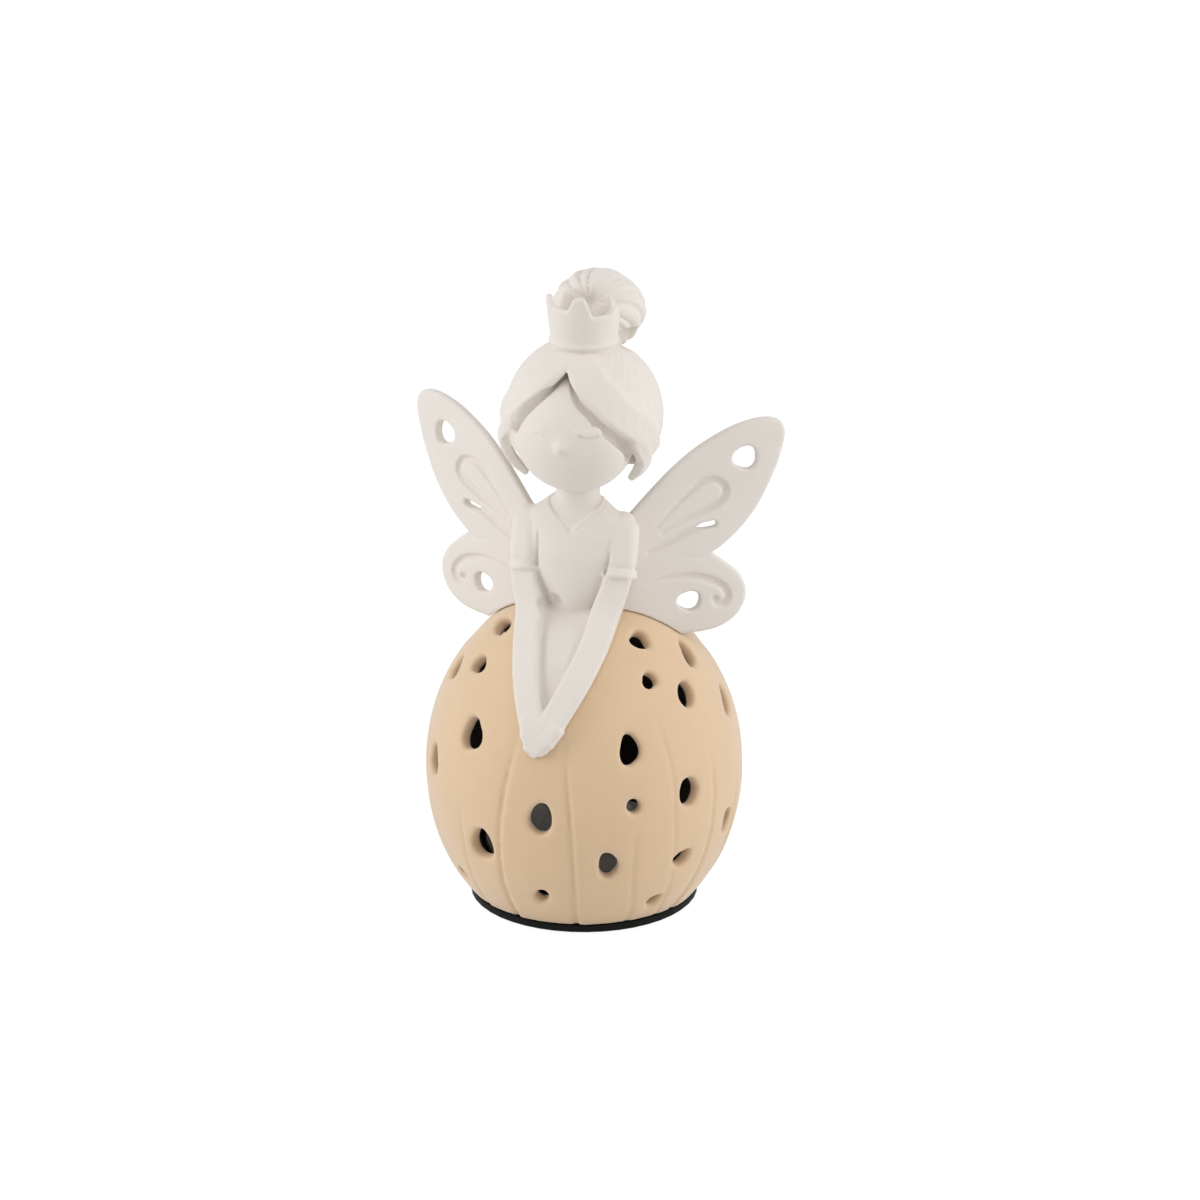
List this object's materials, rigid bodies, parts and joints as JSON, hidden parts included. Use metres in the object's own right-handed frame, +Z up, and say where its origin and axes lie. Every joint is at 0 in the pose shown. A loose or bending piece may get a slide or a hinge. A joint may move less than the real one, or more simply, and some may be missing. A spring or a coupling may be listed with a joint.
{
  "type": "fairy night light",
  "caption": "Night light: a fairy with wings and a small crown sits on a pierced dome that glows from inside, on a black battery base.",
  "frame": {"origin": "centre of the base on the surface it stands on, on the dome's vertical axis", "axes": "+Z up; the fairy faces -Y; +X is towards the viewer's right"},
  "size_m": [0.121, 0.1019, 0.2038],
  "materials": {
    "tan_matte": "matte",
    "bone_matte": "matte",
    "black_plastic": "satin",
    "switch_case": "satin",
    "white_plastic": "satin",
    "frosted_plastic": "frosted",
    "board_green": "satin",
    "lamp_amber": "gloss",
    "battery_wrap": "gloss",
    "plated_steel": "satin",
    "screw_steel": "satin",
    "black_wire": "satin",
    "red_wire": "satin"
  },
  "bodies": {
    "lamp": {"lantern_dome": "tan_matte", "fairy_figure": "bone_matte", "base_housing": "black_plastic", "battery_door": "black_plastic", "switch_body": "switch_case", "light_deck": "white_plastic", "light_diffuser": "frosted_plastic", "circuit_board": "board_green", "led_1": "lamp_amber", "led_2": "lamp_amber", "led_3": "lamp_amber", "battery_1": "battery_wrap", "battery_2": "battery_wrap", "battery_3": "battery_wrap", "contact_minus": "plated_steel", "contact_bridge_a": "plated_steel", "contact_bridge_b": "plated_steel", "contact_plus": "plated_steel", "deck_screw_1": "screw_steel", "deck_screw_2": "screw_steel", "deck_screw_3": "screw_steel", "door_screw": "screw_steel", "wire_minus": "black_wire", "wire_plus": "red_wire", "wire_switched": "red_wire"},
    "slider": {"switch_slider": "white_plastic"}
  },
  "joints": [
    {"name": "switch_slide", "type": "slide", "parent": "lamp", "child": "slider", "axis": [1, 0, 0], "range_m": [0, 0.002]}
  ]
}
